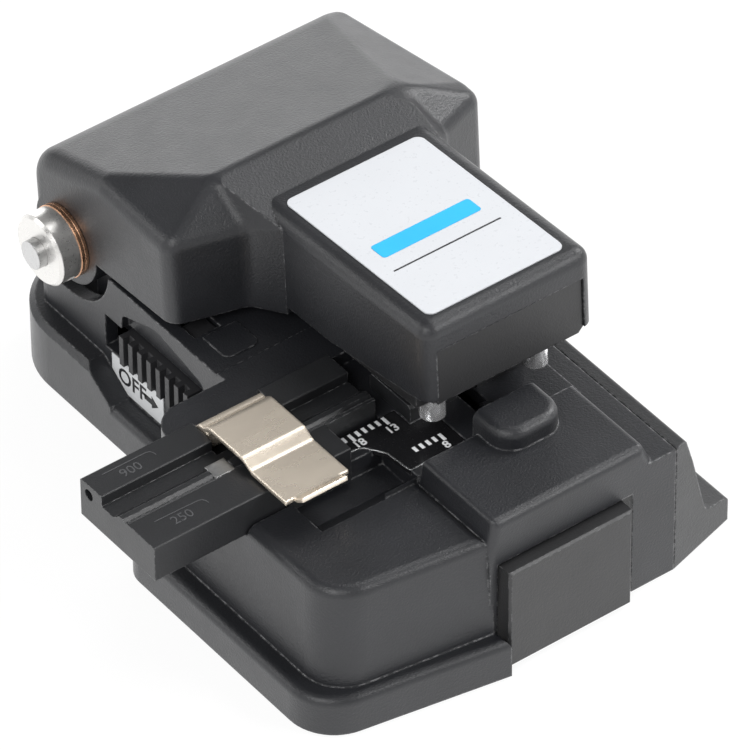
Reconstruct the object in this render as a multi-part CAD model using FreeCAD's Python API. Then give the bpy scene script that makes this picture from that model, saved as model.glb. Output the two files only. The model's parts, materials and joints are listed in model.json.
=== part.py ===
"""Bench-top optical fibre cleaver, as separate pieces in millimetres.

Frame: +Z up, the rubber mat stands on Z = 0, and the origin lies under the cleave point.
The fibre runs along X. The blade wheel travels along Y, away from the user.
The lid turns about an X axis at the back, and is shown a few degrees open, on its lift spring.
"""
import FreeCAD, Part
import math
import os
from FreeCAD import Vector

os.makedirs("parts", exist_ok=True)

# ---------------------------------------------------------------- clearances
GAP = 0.3            # between pieces that move past each other
FIT = 0.05           # around a shaft or pin in its bore
SEAT = 0.02          # around a screw or bush fixed in its hole

# ---------------------------------------------------------------- fibre line and heights
FIBRE_Z = 25.1       # fibre axis above the bench
MAT_T = 0.7          # rubber mat
PLATE_T = 1.4        # steel bottom plate
SKIRT_Z = 0.4        # lower edge of the castings
FOOT_Z = 6.2         # top of the foot flange
LIP_Z = 10.0         # top of the raised flange at the back
BLOCK_Z = 21.0       # front-left block
DECK_Z = 24.0        # right-hand deck
SHELF_Z = 22.0       # working shelf under the lid
REAR_Z = 23.6        # rear casting, just under the lid
WALL = 2.0           # casting wall

# ---------------------------------------------------------------- plan of the base
FOOT_LEFT = -40.0
FOOT_FRONT_L = -25.8
FOOT_FRONT_R = -30.5
BLOCK_LEFT = -37.6
BLOCK_FRONT_L = -24.9
BLOCK_FRONT_R = -28.2
BLOCK_DRAFT = 1.5    # how far the block walls lean in over their height
BLOCK_BACK = 14.6
DECK_FRONT = -27.5
DECK_LEFT = -13.6
DECK_RIGHT = 10.0
DECK_BACK = -12.8
SEAM_X = 15.1        # joint between the casting and the side cover
REAR_HALF = 24.0     # left half of the rear casting
REAR_RIGHT = 25.6
REAR_FRONT = 15.2
REAR_BACK = 56.5
LIP = 3.2            # flange ledge beside the rear casting
FOOT_BACK = 61.5
FOOT_CORNER = 12.0
COVER_RIGHT = 26.4

# ---------------------------------------------------------------- lid, drawn closed
HINGE_Y = 48.5
HINGE_Z = 24.6
LID_REST = 3.15      # degrees open at rest
LID_T = 1.7          # lid shell wall
LID_BOTTOM = 24.2
LID_OVERHANG = 0.2   # of the lid over the sides of the rear casting
HOOD_LEFT = -REAR_HALF - LID_OVERHANG
HOOD_RIGHT = REAR_RIGHT + LID_OVERHANG
HOOD_BACK = 56.1
HOOD_BACK_R = 5.5    # round along the top of its back
HOOD_RIDGE_Z = 41.9
HOOD_SHOULDER_DROP = 5.3   # of the hood's shoulders below its ridge
HOOD_RIDGE_Y = 28.3
HOOD_RIDGE_HALF = 14.8
HOOD_SIDE_Y = 15.0   # from the ridge back to the corner of each side
NOSE_Y = 7.4         # how far the nose stands ahead of the wings
NOSE_RISE = 1.2
MID_X = 2.7          # corner between a wing and the nose
MID_Y = 3.0
SIDE_SLOPE_DROP = 1.6      # right-hand facet below the shoulder, in the middle and at the back
SIDE_SLOPE_BACK_DROP = 3.2
WING_Y = 25.5
ARM_LEFT = -11.5
ARM_RIGHT = 14.9
ARM_FRONT = -11.5
ARM_Z = 39.5
ARM_SEAM_Z = 35.4    # lower edge of the lid front wall
ARM_FOOT_FRONT_Z = 27.7
ARM_FOOT_BACK_Z = 25.4

# ---------------------------------------------------------------- hinge
SHAFT_R = 2.0
LOBE_R = 6.5
LOBE_T = 3.6
BARREL_R = 5.0
SWING_R = 8.9        # hollow in the rear casting in which the lid's back edge swings
COLLAR_R = 5.0
COLLAR_T = 3.2
WASHER_T = 1.1
HEAD_T = 1.5

# ---------------------------------------------------------------- blade and slider
BLADE_R = 8.0
BLADE_T = 1.2
BLADE_BORE = 1.9
BLADE_SCREW_R = 2.8  # head of the screw that clamps the blade
BLADE_SCREW_T = 1.4
BLADE_BITE = 0.05    # blade edge above the fibre axis
BLADE_Y = -13.0      # blade centre with the slider pulled out
STROKE = 18.0
FACE_LEFT = -12.8
FACE_RIGHT = 6.7
FACE_Y = -29.5
FACE_T = 3.0
FACE_Z0 = 0.8
FACE_Z1 = 16.6
RAIL_X = -5.0
RAIL_W = 7.0
RAIL_H = 3.4
SADDLE_L = 16.0
SADDLE_W = 12.0

BRACKET_X0 = -3.6
BRACKET_HALF = 7.0
BRACKET_Z = 19.6

# ---------------------------------------------------------------- adapter and its flap
ADAPTER_LEFT = -50.1
ADAPTER_RIGHT = -11.9
ADAPTER_WIDE = -19.8     # right end of its wide part
ADAPTER_FRONT = -6.2
ADAPTER_NARROW = -0.8    # front of its narrow part
ADAPTER_BACK = 9.4
ADAPTER_SEAT = 19.6
RAIL_TOP = 25.6
RAIL_FRONT = 4.9
GROOVE_FLOOR = 24.0
GROOVE_W = 0.8
FLAP_PIN_Y = 7.6
FLAP_PIN_Z = 24.0
FLAP_PIN_R = 0.8
FLAP_LEFT = -32.8
FLAP_RIGHT = -23.1
FLAP_FRONT = -11.6
FLAP_T = 0.6
KNUCKLE_R = 1.7
MAGNET_X0 = -36.4
MAGNET_X1 = -33.4
ADAPTER_SCREW_X = -28.0
ADAPTER_SCREW_Y = -3.6

# ---------------------------------------------------------------- clamp, anvil and stops
PAD_X0 = 3.4
PAD_X1 = 8.0
PAD_HALF_Y = 3.0
PAD_T = 0.6
CLAMP_X0 = 1.6
CLAMP_X1 = 9.0
CLAMP_HALF_Y = 4.2
FLOAT = 0.5              # spring travel of the upper clamp
STOP_X = 8.1
STOP_Y = -7.6
STOP_R = 1.7
LID_PLATE_Z = 25.6
LID_PLATE_T = 0.8

# ---------------------------------------------------------------- lock knob in the left wall
KNOB_Y0 = 21.6
KNOB_Y1 = 36.4
KNOB_Z0 = 12.0
KNOB_Z1 = 16.8
KNOB_TRAVEL = 4.0
RIB_COUNT = 8

# ---------------------------------------------------------------- lid catch
HOOK_Y0 = 24.0           # front of the knob's hook, unlocked
HOOK_W = 3.0
HOOK_Z = 22.1
CATCH_X0 = HOOD_LEFT + 4.1
CATCH_X1 = CATCH_X0 + 1.8
CATCH_Y = 31.2           # front of the catch
CATCH_Z = 19.5

# ---------------------------------------------------------------- lid lift spring
LIFT_X = 14.0
LIFT_Y = 29.0
LIFT_R = 2.5
LIFT_Z = 12.0           # floor of its pocket

BLADE_Z = FIBRE_Z + BLADE_BITE - BLADE_R
PLATE_Z = MAT_T + PLATE_T          # top of the bottom plate
CLAMP_TOP = FIBRE_Z - 0.05 - PAD_T


UP = Vector(0, 0, 1)
RIGHT = Vector(1, 0, 0)
LEFT = Vector(-1, 0, 0)
BACK = Vector(0, 1, 0)


# ================================================================ drawing helpers
def box(x0, x1, y0, y1, z0, z1):
    return Part.makeBox(x1 - x0, y1 - y0, z1 - z0, Vector(x0, y0, z0))


def rod_x(x0, x1, y, z, radius):
    return Part.makeCylinder(radius, x1 - x0, Vector(x0, y, z), Vector(1, 0, 0))


def rod_y(y0, y1, x, z, radius):
    return Part.makeCylinder(radius, y1 - y0, Vector(x, y0, z), Vector(0, 1, 0))


def rod_z(z0, z1, x, y, radius):
    return Part.makeCylinder(radius, z1 - z0, Vector(x, y, z0), Vector(0, 0, 1))


def peg(x, y, z, axis, length, radius, sides):
    """Prism of a few flat sides, for small hardware and its holes."""
    turn = FreeCAD.Rotation(UP, axis)
    angles = [2 * math.pi * k / sides for k in range(sides)]
    ring = [turn.multVec(Vector(math.cos(a), math.sin(a), 0) * radius) + Vector(x, y, z) for a in angles]
    return Part.Face(Part.makePolygon(ring + ring[:1])).extrude(axis * length)


def peg_x(x0, x1, y, z, radius, sides=8):
    return peg(x0, y, z, RIGHT, x1 - x0, radius, sides)


def peg_z(z0, z1, x, y, radius, sides=8):
    return peg(x, y, z0, UP, z1 - z0, radius, sides)


def outline(corners, place):
    """Closed wire through (u, v, radius) corners; place turns (u, v) into a point."""
    ends = []
    count = len(corners)
    for i, (u, v, radius) in enumerate(corners):
        here = Vector(u, v, 0)
        back = Vector(corners[i - 1][0], corners[i - 1][1], 0) - here
        ahead = Vector(corners[(i + 1) % count][0], corners[(i + 1) % count][1], 0) - here
        back.normalize()
        ahead.normalize()
        if radius <= 0:
            ends.append((here, None, here))
            continue
        half = back.getAngle(ahead) / 2
        reach = radius / math.tan(half)
        middle = back + ahead
        middle.normalize()
        crown = here + middle * (radius / math.sin(half) - radius)
        ends.append((here + back * reach, crown, here + ahead * reach))
    edges = []
    for i, (first, crown, last) in enumerate(ends):
        if crown is not None:
            edges.append(Part.Arc(place(first), place(crown), place(last)).toShape())
        following = ends[(i + 1) % count][0]
        if (following - last).Length > 1e-6:
            edges.append(Part.makeLine(place(last), place(following)))
    return Part.Wire(edges)


def slab_x(corners, x0, x1):
    """Prism along X with (y, z, radius) corners."""
    wire = outline(corners, lambda p: Vector(x0, p.x, p.y))
    return Part.Face(wire).extrude(Vector(x1 - x0, 0, 0))


def slab_y(corners, y0, y1):
    """Prism along Y with (x, z, radius) corners."""
    wire = outline(corners, lambda p: Vector(p.x, y0, p.y))
    return Part.Face(wire).extrude(Vector(0, y1 - y0, 0))


def slab_z(corners, z0, z1):
    """Prism along Z with (x, y, radius) corners."""
    wire = outline(corners, lambda p: Vector(p.x, p.y, z0))
    return Part.Face(wire).extrude(Vector(0, 0, z1 - z0))


def faceted(points, faces):
    """Solid bounded by flat faces; each face lists the names of its corners."""
    shells = []
    for names in faces:
        ring = [Vector(*points[name]) for name in names]
        shells.append(Part.Face(Part.makePolygon(ring + ring[:1])))
    return Part.makeSolid(Part.makeShell(shells))


def soften(shape, radius, wanted):
    """Fillet the edges for which wanted(edge) is true."""
    edges = [edge for edge in shape.Edges if wanted(edge)]
    return shape.makeFillet(radius, edges)


def spans(edge, axis):
    """Length of an edge along one axis, 0 to 2."""
    size = edge.BoundBox
    return (size.XLength, size.YLength, size.ZLength)[axis]


def coil(x, y, z, axis, length, radius, wire, turns):
    """Coil spring of square wire from (x, y, z) along axis."""
    steps = 10 * turns
    turn = FreeCAD.Rotation(UP, axis)
    rings = []
    for i in range(steps + 1):
        angle = 2 * math.pi * i / 10
        out = Vector(math.cos(angle), math.sin(angle), 0)
        rise = Vector(0, 0, wire)
        at = out * radius + UP * (length * i / steps)
        ring = [at + out * wire - rise, at + out * wire + rise, at - out * wire + rise, at - out * wire - rise]
        rings.append([turn.multVec(p) + Vector(x, y, z) for p in ring])
    corners = [rings[0][::-1], rings[-1]]
    for low, high in zip(rings, rings[1:]):
        for k in range(4):
            m = (k + 1) % 4
            corners.append([low[k], low[m], high[m]])
            corners.append([low[k], high[m], high[k]])
    faces = [Part.Face(Part.makePolygon(ring + ring[:1])) for ring in corners]
    return Part.makeSolid(Part.makeShell(faces))


def screw(x, y, z, axis, head_r, head_t, shank_r, shank_l):
    """Screw whose head starts at (x, y, z); the shank runs along axis."""
    head = peg(x, y, z, axis, head_t, head_r, 12)
    start = Vector(x, y, z) + axis * head_t
    shank = peg(start.x, start.y, start.z, axis, shank_l, shank_r, 8)
    socket = peg(x, y, z, axis, head_t * 0.6, head_r * 0.5, 6)
    return head.fuse(shank).removeSplitter().cut(socket)


def raised(shape):
    """Turn a lid piece from closed to its rest angle."""
    turned = shape.copy()
    turned.rotate(Vector(0, HINGE_Y, HINGE_Z), Vector(1, 0, 0), -LID_REST)
    return turned


def write(name, shape):
    shape.exportStep("parts/" + name + ".step")


# ================================================================ base casting
WINDOW_X0 = FACE_LEFT - 0.4
WINDOW_X1 = FACE_RIGHT + 1.5
WINDOW_Z1 = FACE_Z1 + 0.4
BAY_BACK = RAIL_H + 26.0          # back of the bay in which the slider runs
BAY_TOP = ADAPTER_SEAT - WALL      # the adapter's channel runs above the bay
BLADE_ROOM_Z = SHELF_Z - WALL
REAR_ROOM_Z = 14.0
POCKET_Z = SHELF_Z - 0.8          # seat of the scale plate
CHANNEL_FRONT = ADAPTER_FRONT - GAP
CHANNEL_BACK = ADAPTER_BACK + GAP
BOTTOM_SCREWS = [(-31.5, -18.0), (-31.5, 9.0), (11.0, -22.0), (11.0, 11.0), (19.0, 34.0), (-13.5, 35.0)]
COVER_SCREWS = [(-19.0, 11.5), (8.0, 11.5)]
SHOULDER = HINGE_Y - SWING_R


def foot_corners(inset):
    left = FOOT_LEFT + inset
    step = BLOCK_BACK + 1.3 - inset
    rear_left = -REAR_HALF - LIP + inset
    rear_right = COVER_RIGHT - inset
    back = FOOT_BACK - inset
    corner = FOOT_CORNER - inset
    window = WINDOW_X0
    return [
        (left, FOOT_FRONT_L + inset, 7.0), (window - inset, FOOT_FRONT_R + inset, 0),
        (window - inset, DECK_FRONT + inset, 0), (SEAM_X, DECK_FRONT + inset, 0),
        (rear_right, DECK_FRONT + 3.1 + inset, 0),
        (rear_right, back, corner), (rear_left, back, corner),
        (rear_left, step, 4.0), (left, step, 4.0),
    ]


def foot():
    low = slab_z(foot_corners(0), SKIRT_Z, FOOT_Z)
    low = soften(low, 1.2, lambda e: e.BoundBox.ZMin > FOOT_Z - 0.01)
    lip_front = SHOULDER - 4.0
    high = slab_z(foot_corners(0), SKIRT_Z, LIP_Z)
    high = high.makeChamfer(0.8, [e for e in high.Edges if e.BoundBox.ZMin > LIP_Z - 0.01])
    wedge = slab_x([(lip_front, SKIRT_Z, 0), (FOOT_BACK + 1, SKIRT_Z, 0), (FOOT_BACK + 1, LIP_Z, 0),
                    (lip_front + 5.5, LIP_Z, 0), (lip_front, FOOT_Z, 0)], FOOT_LEFT, COVER_RIGHT + 1)
    whole = low.fuse(high.common(wedge))
    cover_side = box(SEAM_X, COVER_RIGHT + 1, DECK_FRONT - 1, REAR_FRONT, 0, FOOT_Z + 1)
    return whole.cut(cover_side)


def front_left_block():
    def ring(inset, z):
        corners = [(BLOCK_LEFT + inset, BLOCK_FRONT_L + inset, 6.0), (DECK_LEFT - 0.3, BLOCK_FRONT_R + inset, 0),
                   (DECK_LEFT - 0.3, BLOCK_BACK, 0), (BLOCK_LEFT + inset, BLOCK_BACK, 5.0)]
        return outline(corners, lambda p: Vector(p.x, p.y, z))

    block = Part.makeLoft([ring(0, FOOT_Z - 4), ring(BLOCK_DRAFT, BLOCK_Z)], True, True)
    block = soften(block, 1.5, lambda e: e.BoundBox.ZMin > BLOCK_Z - 0.01 and e.BoundBox.XMax < DECK_LEFT - 0.1
                   or e.BoundBox.ZMin > BLOCK_Z - 0.01 and e.BoundBox.YMax < DECK_FRONT + 4)
    return block


def right_deck():
    ramp = 0.8
    strip_z = BLOCK_Z - 0.2
    corners = [(DECK_LEFT - ramp, SKIRT_Z, 0), (DECK_LEFT - ramp, BLOCK_Z - 1.0, 0), (DECK_LEFT, DECK_Z, 0.6),
               (DECK_RIGHT, DECK_Z, 0.8), (DECK_RIGHT + 1.5, strip_z, 0), (SEAM_X, strip_z, 0),
               (SEAM_X, SKIRT_Z, 0)]
    deck = slab_y(corners, DECK_FRONT, DECK_BACK)
    return soften(deck, 1.2, lambda e: e.BoundBox.YMax < DECK_FRONT + 0.01 and e.BoundBox.ZMin > DECK_Z - 0.01)


def work_deck():
    """Deck between the front parts and the rear casting, with the channel for the adapter."""
    front = DECK_BACK - 0.01
    left = BLOCK_LEFT + BLOCK_DRAFT
    ledge = slab_z([(left, CHANNEL_BACK, 0), (SEAM_X, CHANNEL_BACK, 0), (SEAM_X, REAR_FRONT + 1, 0),
                    (-REAR_HALF, REAR_FRONT + 1, 0), (-REAR_HALF, BLOCK_BACK, 0), (left, BLOCK_BACK, 4.4)],
                   FOOT_Z, DECK_Z)
    shelf = box(DECK_LEFT - 6.0, DECK_RIGHT + 1.5, front, CHANNEL_BACK, FOOT_Z - 1, SHELF_Z)
    strip = box(DECK_RIGHT + 1.5, SEAM_X, front, CHANNEL_BACK, FOOT_Z - 1, BLOCK_Z - 0.2)
    return ledge.fuse([shelf, strip])


def rear_casting():
    corners = [(-REAR_HALF, REAR_FRONT, 0), (REAR_RIGHT, REAR_FRONT, 0), (REAR_RIGHT, REAR_BACK, 3.0),
               (-REAR_HALF, REAR_BACK, 3.0)]
    tub = slab_z(corners, SKIRT_Z, REAR_Z)
    room = box(-REAR_HALF + WALL, REAR_RIGHT - WALL, SHOULDER + 1.0, REAR_BACK - WALL, REAR_ROOM_Z, REAR_Z + 1)
    swing = rod_x(-REAR_HALF - 1, REAR_RIGHT + 1, HINGE_Y, HINGE_Z, SWING_R)
    behind = box(-REAR_HALF - 1, REAR_RIGHT + 1, HINGE_Y, REAR_BACK + 1, HINGE_Z - SWING_R, REAR_Z + 1)
    back_wall = box(-REAR_HALF + 3.0, REAR_RIGHT - 3.0, REAR_BACK - WALL, REAR_BACK, REAR_ROOM_Z, HINGE_Z - 6.0)
    left = HOOD_LEFT + LOBE_T + GAP
    right = HOOD_RIGHT - LOBE_T - GAP
    barrel = rod_x(left, right, HINGE_Y, HINGE_Z, BARREL_R)
    web = box(left, right, SHOULDER - 0.5, HINGE_Y - 1.0, REAR_ROOM_Z - 1, HINGE_Z - 2)
    bore = rod_x(left - 1, right + 1, HINGE_Y, HINGE_Z, SHAFT_R + SEAT)
    return tub.cut([room, swing, behind]).fuse([back_wall, barrel, web]).cut(bore)


def blade_guard():
    reach = BLADE_R + 0.4
    half = 5.0
    front = BLADE_Y - 5.5
    back = ARM_FRONT - GAP
    top = BLADE_Z + reach + 1.4
    guard = slab_z([(-half, front, 3.4), (half, front, 3.4), (half, back, 0), (-half, back, 0)], SHELF_Z - 1, top)
    return soften(guard, 1.3, lambda e: e.BoundBox.ZMin > top - 0.01 and e.BoundBox.YMin < back - 0.1)


def blade_tunnel():
    """Room that the blade wheel sweeps through."""
    reach = BLADE_R + 0.4
    half = BLADE_T / 2 + 0.6
    first = rod_x(-half, half, BLADE_Y, BLADE_Z, reach)
    last = rod_x(-half, half, BLADE_Y + STROKE, BLADE_Z, reach)
    between = box(-half, half, BLADE_Y, BLADE_Y + STROKE, BLADE_Z - reach, BLADE_Z + reach)
    head = box(-half, BLADE_T / 2 + BLADE_SCREW_T + GAP, BLADE_Y - BLADE_SCREW_R - GAP,
               BLADE_Y + STROKE + BLADE_SCREW_R + GAP, BLADE_Z, BLADE_Z + BLADE_SCREW_R + FIT)
    return first.fuse([last, between, head])


def adapter_channel():
    left = FOOT_LEFT - 2
    wide = box(left, ADAPTER_WIDE + GAP, CHANNEL_FRONT, CHANNEL_BACK, ADAPTER_SEAT, DECK_Z + 2)
    narrow = box(left, ADAPTER_RIGHT + GAP, ADAPTER_NARROW - GAP, CHANNEL_BACK, ADAPTER_SEAT, DECK_Z + 2)
    return wide.fuse(narrow)


def finger_recess():
    """Hollow in front of the flap, with a sloped front."""
    corners = [(DECK_BACK, BLOCK_Z + 1, 0), (DECK_BACK, BLOCK_Z, 0), (DECK_BACK + 2.9, BLOCK_Z - 2.0, 0),
               (CHANNEL_FRONT + 1, BLOCK_Z - 2.0, 0), (CHANNEL_FRONT + 1, BLOCK_Z + 1, 0)]
    return slab_x(corners, FLAP_LEFT + 3.5, DECK_LEFT - 0.8)


def scale_corners(inset):
    """Plan of the scale plate; inset is negative for its seat."""
    left = ADAPTER_WIDE + 0.8 + inset
    front = DECK_BACK + 1.5 + inset
    right = -5.6 - inset
    clamp_side = -CLAMP_X1 - GAP - inset
    back = ADAPTER_NARROW - GAP - 0.1 - inset
    return [
        (left, back, 0), (left, -3.9 + inset, 1.0), (DECK_LEFT - 3.0 + inset, -4.2 + inset, 1.5),
        (DECK_LEFT - 1.2 + inset, -7.0, 1.5), (DECK_LEFT - 0.8 + inset, front, 0), (right, front, 0),
        (right, -CLAMP_HALF_Y - GAP - inset, 0), (clamp_side, -CLAMP_HALF_Y - GAP - inset, 0),
        (clamp_side, back, 0),
    ]


def knob_window():
    room = KNOB_TRAVEL + GAP
    depth = REAR_HALF - 1.2
    slot = box(-REAR_HALF - 1, -REAR_HALF + WALL + 0.1, KNOB_Y0 - GAP, KNOB_Y1 + room, KNOB_Z0 - GAP, KNOB_Z1 + GAP)
    scoop = slab_x([(KNOB_Y0 - 1.5, KNOB_Z1 - 0.5, 0), (KNOB_Y1 + 0.6, KNOB_Z1 - 0.5, 0),
                    (KNOB_Y1 + 0.6, KNOB_Z1 + 2.6, 1.5), (KNOB_Y1 - 7.0, KNOB_Z1 + 5.2, 4.0),
                    (KNOB_Y0 - 3.0, KNOB_Z1 + 2.8, 1.5)], -REAR_HALF - 1, -depth)
    inner = -REAR_HALF + WALL
    track = box(inner, inner + 1.2 + 2 * GAP, KNOB_Y0 - 1.5 - GAP, KNOB_Y1 + 1.5 + room, KNOB_Z0 - 1.5 - GAP,
                KNOB_Z1 + 1.5 + GAP)
    return slot.fuse([scoop, track])


def inner_rooms():
    """Everything that is hollow from below."""
    floor = SKIRT_Z - 1
    posts = [peg_z(floor - 1, REAR_Z, x, y, 3.4) for x, y in BOTTOM_SCREWS]
    posts.append(rod_z(floor - 1, REAR_Z, LIFT_X, LIFT_Y, LIFT_R + GAP + 1.6))
    window = box(WINDOW_X0, WINDOW_X1, FOOT_FRONT_R - 2, DECK_FRONT + WALL + 1, floor, WINDOW_Z1)
    bay = box(WINDOW_X0 - 1.0, WINDOW_X1, DECK_FRONT + WALL, BAY_BACK, floor, BAY_TOP)
    blade_room = box(BRACKET_X0 - 0.6, BLADE_T / 2 + 2.6, BLADE_Y - BRACKET_HALF - 0.6,
                     BLADE_Y + STROKE + BRACKET_HALF + 0.6, BAY_TOP - 1, BLADE_ROOM_Z)
    left = box(BLOCK_LEFT + 3.2, WINDOW_X0 - 3.0, BLOCK_FRONT_L + 3.4, BLOCK_BACK - WALL, floor, BLOCK_Z - 4.0)
    rear = box(-REAR_HALF + WALL, REAR_RIGHT - WALL, REAR_FRONT + WALL, SHOULDER - WALL, floor, REAR_Z - WALL)
    hinge_room = box(-REAR_HALF + WALL, REAR_RIGHT - WALL, SHOULDER, REAR_BACK - WALL, floor, REAR_ROOM_Z - WALL)
    rooms = left.fuse([rear, hinge_room]).cut(Part.makeCompound(posts))
    return [window, bay, blade_room, rooms]


def base_body():
    body = foot().fuse([front_left_block(), right_deck(), work_deck(), rear_casting(), blade_guard()])
    cuts = [blade_tunnel(), adapter_channel(), finger_recess(), knob_window()] + inner_rooms()
    cuts.append(slab_z(scale_corners(-GAP / 3), POCKET_Z, DECK_Z))
    cuts.append(slab_z(foot_corners(1.5), SKIRT_Z - 1, PLATE_Z))
    cuts.append(rod_z(LIFT_Z, REAR_Z + 1, LIFT_X, LIFT_Y, LIFT_R + GAP))
    cuts.append(box(-REAR_HALF + WALL, CATCH_X1 + GAP, HOOK_Y0 - GAP, CATCH_Y + 2.3 + GAP,
                    REAR_Z - WALL - 1, REAR_Z + 1))
    cuts.append(peg_z(ADAPTER_SEAT - 2.0, ADAPTER_SEAT + 1, ADAPTER_SCREW_X, ADAPTER_SCREW_Y, 0.8 + SEAT))
    for x, y in BOTTOM_SCREWS:
        cuts.append(peg_z(0, PLATE_Z + 6.0, x, y, 1.25 + SEAT))
    for y, z in COVER_SCREWS:
        cuts.append(peg_x(SEAM_X - 6.0, SEAM_X + 1, y, z, 1.25 + SEAT))
    return body.cut(cuts).removeSplitter()


write("base_body", base_body())


# ================================================================ under the base
def bottom_plate():
    plate = slab_z(foot_corners(1.5 + GAP / 2), MAT_T, PLATE_Z)
    notch = box(WINDOW_X0 - 2, WINDOW_X1 + GAP, FOOT_FRONT_R - 1, NOTCH_BACK, 0, PLATE_Z + 1)
    holes = [peg_z(0, PLATE_Z + 1, x, y, 1.25 + SEAT) for x, y in BOTTOM_SCREWS]
    sinks = [peg_z(0, MAT_T + 1.0, x, y, 2.4 + SEAT, 12) for x, y in BOTTOM_SCREWS]
    return plate.cut([notch] + holes + sinks)


def rubber_mat():
    mat = slab_z(foot_corners(2.5), 0, MAT_T)
    notch = box(WINDOW_X0 - 3, COVER_RIGHT, FOOT_FRONT_R - 1, NOTCH_BACK + 1, -1, MAT_T + 1)
    holes = [peg_z(-1, MAT_T + 1, x, y, 3.0, 12) for x, y in BOTTOM_SCREWS]
    return mat.cut([notch] + holes)


def bottom_screws():
    return Part.makeCompound([screw(x, y, MAT_T, UP, 2.4, 1.0, 1.25, 6.0) for x, y in BOTTOM_SCREWS])


NOTCH_BACK = FACE_Y + FACE_T + STROKE + 0.6
write("bottom_plate", bottom_plate())
write("rubber_mat", rubber_mat())
write("bottom_screws", bottom_screws())


# ================================================================ right side cover
def side_cover():
    top = BLOCK_Z - 0.2
    tip = 4.3
    skin = 1.8
    x0 = SEAM_X + 0.1
    outer = slab_y([(x0, SKIRT_Z, 0), (COVER_RIGHT, SKIRT_Z, 0), (COVER_RIGHT, tip, 1.0), (21.6, 5.6, 2.0),
                    (SEAM_X + 3.6, 16.0, 3.0), (SEAM_X + 2.0, top, 0.6), (x0, top, 0)], DECK_FRONT, REAR_FRONT - 0.1)
    inner = slab_y([(x0 - 1, SKIRT_Z - 1, 0), (21.6, SKIRT_Z - 1, 0), (19.7, 6.0, 1.0),
                    (SEAM_X + 1.4, top - skin, 0), (x0 - 1, top - skin, 0)],
                   DECK_FRONT + skin, REAR_FRONT - skin)
    sweep = slab_z([(SEAM_X - 1, DECK_FRONT - 1, 0), (SEAM_X, DECK_FRONT, 0), (COVER_RIGHT + 1, DECK_FRONT + 3.4, 0),
                    (COVER_RIGHT + 1, DECK_FRONT - 1, 0)], 0, DECK_Z)
    bosses = [peg_x(x0, SEAM_X + 4.4, y, z, 3.2, 12) for y, z in COVER_SCREWS]
    shell = outer.cut(inner).fuse([boss.common(outer) for boss in bosses]).cut(sweep)
    holes = [peg_x(x0 - 1, SEAM_X + 9, y, z, 1.25 + SEAT) for y, z in COVER_SCREWS]
    sinks = [peg_x(SEAM_X + 2.4, SEAM_X + 9, y, z, 2.1 + SEAT, 12) for y, z in COVER_SCREWS]
    under = slab_z(foot_corners(1.5), SKIRT_Z - 1, PLATE_Z)
    return shell.cut(holes + sinks + [under])


def side_cover_screws():
    head = SEAM_X + 2.4 + 1.4
    return Part.makeCompound([screw(head, y, z, LEFT, 2.1, 1.4, 1.25, 8.0) for y, z in COVER_SCREWS])


write("right_side_cover", side_cover())
write("side_cover_screws", side_cover_screws())


# ================================================================ rail, carriage and blade
RAIL_Y0 = NOTCH_BACK + 0.6
RAIL_Y1 = RAIL_Y0 + SADDLE_L + STROKE + 4.0
SADDLE_Y0 = RAIL_Y0 + 0.5
SADDLE_TOP = 8.2
ARM_X0 = RAIL_X - 4.0


def slide_rail():
    half = RAIL_W / 2
    rail = box(RAIL_X - half, RAIL_X + half, RAIL_Y0, RAIL_Y1, PLATE_Z, PLATE_Z + RAIL_H)
    flute = 0.7
    side = [rod_y(RAIL_Y0 - 1, RAIL_Y1 + 1, RAIL_X + s * (half + 0.2), PLATE_Z + 2.2, flute) for s in (-1, 1)]
    holes = [peg_z(PLATE_Z - 1, PLATE_Z + RAIL_H + 1, RAIL_X, y, 0.8 + SEAT) for y in RAIL_HOLES]
    sinks = [peg_z(PLATE_Z + RAIL_H - 1.4, PLATE_Z + RAIL_H + 1, RAIL_X, y, 1.5 + SEAT, 12) for y in RAIL_HOLES]
    return rail.cut(side + holes + sinks)


def slider_carriage():
    half = SADDLE_W / 2
    saddle = box(RAIL_X - half, RAIL_X + half, SADDLE_Y0, SADDLE_Y0 + SADDLE_L, PLATE_Z + 0.9, SADDLE_TOP)
    groove = box(RAIL_X - RAIL_W / 2 - FIT, RAIL_X + RAIL_W / 2 + FIT, SADDLE_Y0 - 1, SADDLE_Y0 + SADDLE_L + 1,
                 PLATE_Z, PLATE_Z + RAIL_H + FIT)
    arm = box(ARM_X0, BRACKET_X1, FACE_Y + FACE_T, SADDLE_Y0 + 1, PLATE_Z + RAIL_H + 0.6, SADDLE_TOP + 0.6)
    bracket = slab_x([(BLADE_Y - BRACKET_HALF, SADDLE_TOP, 0), (BLADE_Y + BRACKET_HALF, SADDLE_TOP, 0),
                      (BLADE_Y + BRACKET_HALF, BLADE_Z, 0), (BLADE_Y + 3.0, BRACKET_Z, 2.0),
                      (BLADE_Y - 3.0, BRACKET_Z, 2.0), (BLADE_Y - BRACKET_HALF, BLADE_Z, 0)], BRACKET_X0, BRACKET_X1)
    bore = rod_x(BRACKET_X0 - 1, BRACKET_X1 + 1, BLADE_Y, BLADE_Z, 1.2 + SEAT)
    height_hole = rod_z(SADDLE_TOP - 2, SADDLE_TOP + 1, HEIGHT_X, HEIGHT_Y, 1.0 + SEAT)
    return saddle.fuse([arm, bracket]).cut([groove, bore, height_hole]).removeSplitter()


def slider_front():
    plate = box(FACE_LEFT, FACE_RIGHT, FACE_Y, FACE_Y + FACE_T, FACE_Z0, FACE_Z1)
    return plate.makeChamfer(0.3, [e for e in plate.Edges if e.BoundBox.YMax < FACE_Y + 0.01])


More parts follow.
